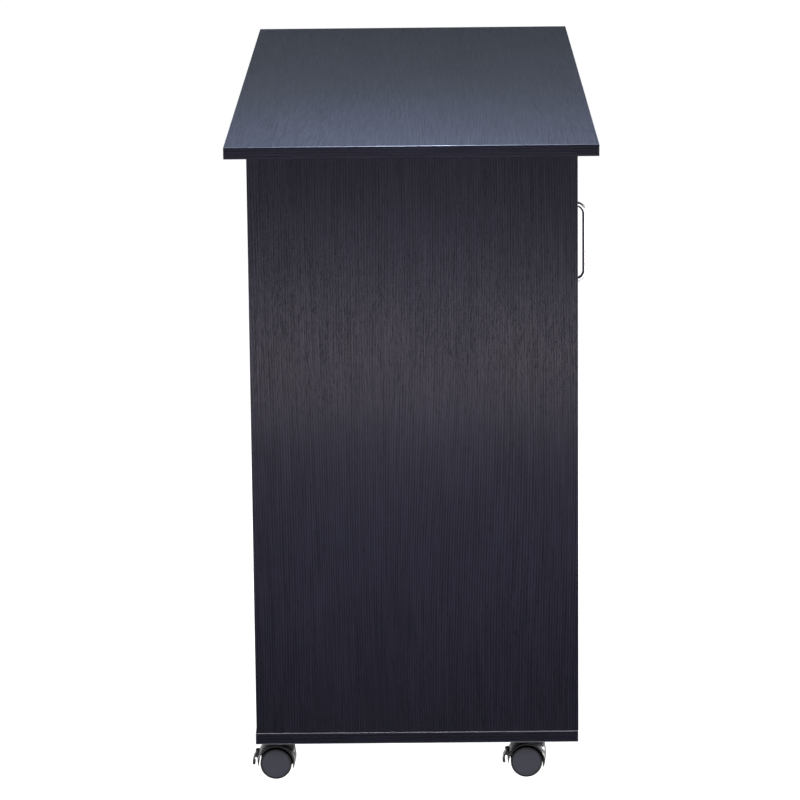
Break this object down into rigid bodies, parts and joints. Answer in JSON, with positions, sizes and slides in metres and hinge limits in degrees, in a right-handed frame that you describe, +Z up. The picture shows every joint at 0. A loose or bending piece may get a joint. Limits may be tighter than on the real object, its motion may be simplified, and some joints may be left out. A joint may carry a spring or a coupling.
{
  "type": "kitchen island cart",
  "caption": "Rolling kitchen island cart with a black wood-grain worktop, a cupboard with a wire pull, drawers over open shelves, and swivel casters, some with brakes.",
  "frame": {"origin": "on the floor under the middle of the worktop", "axes": "X along the worktop with the cupboard at -X, the front with the door and drawers towards -Y, Z up"},
  "size_m": [1.2, 0.46, 0.82],
  "materials": {
    "black_board": "black wood-grain melamine on particleboard",
    "black_edging": "embossed edge band",
    "black_hardboard": "printed hardboard",
    "satin_steel": "satin",
    "zinc_fittings": "zinc plated",
    "beech": "raw",
    "black_nylon": "moulded",
    "caster_plastic": "moulded, semi-gloss",
    "wheel_plastic": "moulded, satin"
  },
  "bodies": {
    "cabinet": {"worktop": "black_board", "worktop_edging": "black_edging", "base_board": "black_board", "left_side_panel": "black_board", "right_side_panel": "black_board", "left_partition": "black_board", "right_partition": "black_board", "back_panel": "black_hardboard", "centre_drawer_divider": "black_board", "right_drawer_divider": "black_board", "cupboard_shelf": "black_board", "centre_shelf": "black_board", "right_shelf": "black_board", "shelf_pins": "zinc_fittings", "cam_locks": "zinc_fittings", "cam_bolts": "zinc_fittings", "dowels": "beech", "door_pivot_pins": "zinc_fittings", "magnetic_catch": "black_nylon", "caster_plates": "zinc_fittings", "caster_screws": "zinc_fittings", "centre_drawer_runners": "black_nylon", "right_drawer_runners": "black_nylon"},
    "door": {"door_panel": "black_board", "door_pivot_bushes": "black_nylon", "door_pull": "satin_steel", "door_pull_screws": "zinc_fittings", "catch_plate": "zinc_fittings"},
    "centre_drawer": {"centre_drawer_front": "black_board", "centre_drawer_left_side": "black_board", "centre_drawer_right_side": "black_board", "centre_drawer_rear": "black_board", "centre_drawer_bottom": "black_hardboard", "centre_drawer_pull": "satin_steel", "centre_drawer_pull_screws": "zinc_fittings"},
    "right_drawer": {"right_drawer_front": "black_board", "right_drawer_left_side": "black_board", "right_drawer_right_side": "black_board", "right_drawer_rear": "black_board", "right_drawer_bottom": "black_hardboard", "right_drawer_pull": "satin_steel", "right_drawer_pull_screws": "zinc_fittings"},
    "left_front_caster": {"left_front_caster_hood": "caster_plastic"},
    "left_front_wheels": {"left_front_caster_wheels": "wheel_plastic", "left_front_caster_axle": "zinc_fittings"},
    "left_front_brake": {"left_front_brake_lever": "caster_plastic"},
    "left_rear_caster": {"left_rear_caster_hood": "caster_plastic"},
    "left_rear_wheels": {"left_rear_caster_wheels": "wheel_plastic", "left_rear_caster_axle": "zinc_fittings"},
    "left_rear_brake": {"left_rear_brake_lever": "caster_plastic"},
    "right_front_caster": {"right_front_caster_hood": "caster_plastic"},
    "right_front_wheels": {"right_front_caster_wheels": "wheel_plastic", "right_front_caster_axle": "zinc_fittings"},
    "right_rear_caster": {"right_rear_caster_hood": "caster_plastic"},
    "right_rear_wheels": {"right_rear_caster_wheels": "wheel_plastic", "right_rear_caster_axle": "zinc_fittings"}
  },
  "joints": [
    {"name": "door_hinge", "type": "hinge", "parent": "cabinet", "child": "door", "pos_m": [-0.5405, -0.197, 0.436], "axis": [0, 0, -1], "range_deg": [0, 110]},
    {"name": "centre_drawer_slide", "type": "slide", "parent": "cabinet", "child": "centre_drawer", "axis": [0, -1, 0], "range_m": [0, 0.26]},
    {"name": "right_drawer_slide", "type": "slide", "parent": "cabinet", "child": "right_drawer", "axis": [0, -1, 0], "range_m": [0, 0.26]},
    {"name": "left_front_swivel", "type": "hinge", "parent": "cabinet", "child": "left_front_caster", "pos_m": [-0.532, -0.1555, 0.04], "axis": [0, 0, 1], "continuous": true},
    {"name": "left_front_roll", "type": "hinge", "parent": "left_front_caster", "child": "left_front_wheels", "pos_m": [-0.532, -0.1391, 0.02], "axis": [1, 0, 0], "continuous": true},
    {"name": "left_front_brake_tilt", "type": "hinge", "parent": "left_front_caster", "child": "left_front_brake", "pos_m": [-0.532, -0.11515, 0.02919], "axis": [1, 0, 0], "range_deg": [0, 30]},
    {"name": "left_rear_swivel", "type": "hinge", "parent": "cabinet", "child": "left_rear_caster", "pos_m": [-0.532, 0.1635, 0.04], "axis": [0, 0, 1], "continuous": true},
    {"name": "left_rear_roll", "type": "hinge", "parent": "left_rear_caster", "child": "left_rear_wheels", "pos_m": [-0.532, 0.1799, 0.02], "axis": [1, 0, 0], "continuous": true},
    {"name": "left_rear_brake_tilt", "type": "hinge", "parent": "left_rear_caster", "child": "left_rear_brake", "pos_m": [-0.532, 0.20385, 0.02919], "axis": [1, 0, 0], "range_deg": [0, 30]},
    {"name": "right_front_swivel", "type": "hinge", "parent": "cabinet", "child": "right_front_caster", "pos_m": [0.532, -0.1555, 0.04], "axis": [0, 0, 1], "continuous": true},
    {"name": "right_front_roll", "type": "hinge", "parent": "right_front_caster", "child": "right_front_wheels", "pos_m": [0.532, -0.1391, 0.02], "axis": [1, 0, 0], "continuous": true},
    {"name": "right_rear_swivel", "type": "hinge", "parent": "cabinet", "child": "right_rear_caster", "pos_m": [0.532, 0.1635, 0.04], "axis": [0, 0, 1], "continuous": true},
    {"name": "right_rear_roll", "type": "hinge", "parent": "right_rear_caster", "child": "right_rear_wheels", "pos_m": [0.532, 0.1799, 0.02], "axis": [1, 0, 0], "continuous": true}
  ]
}
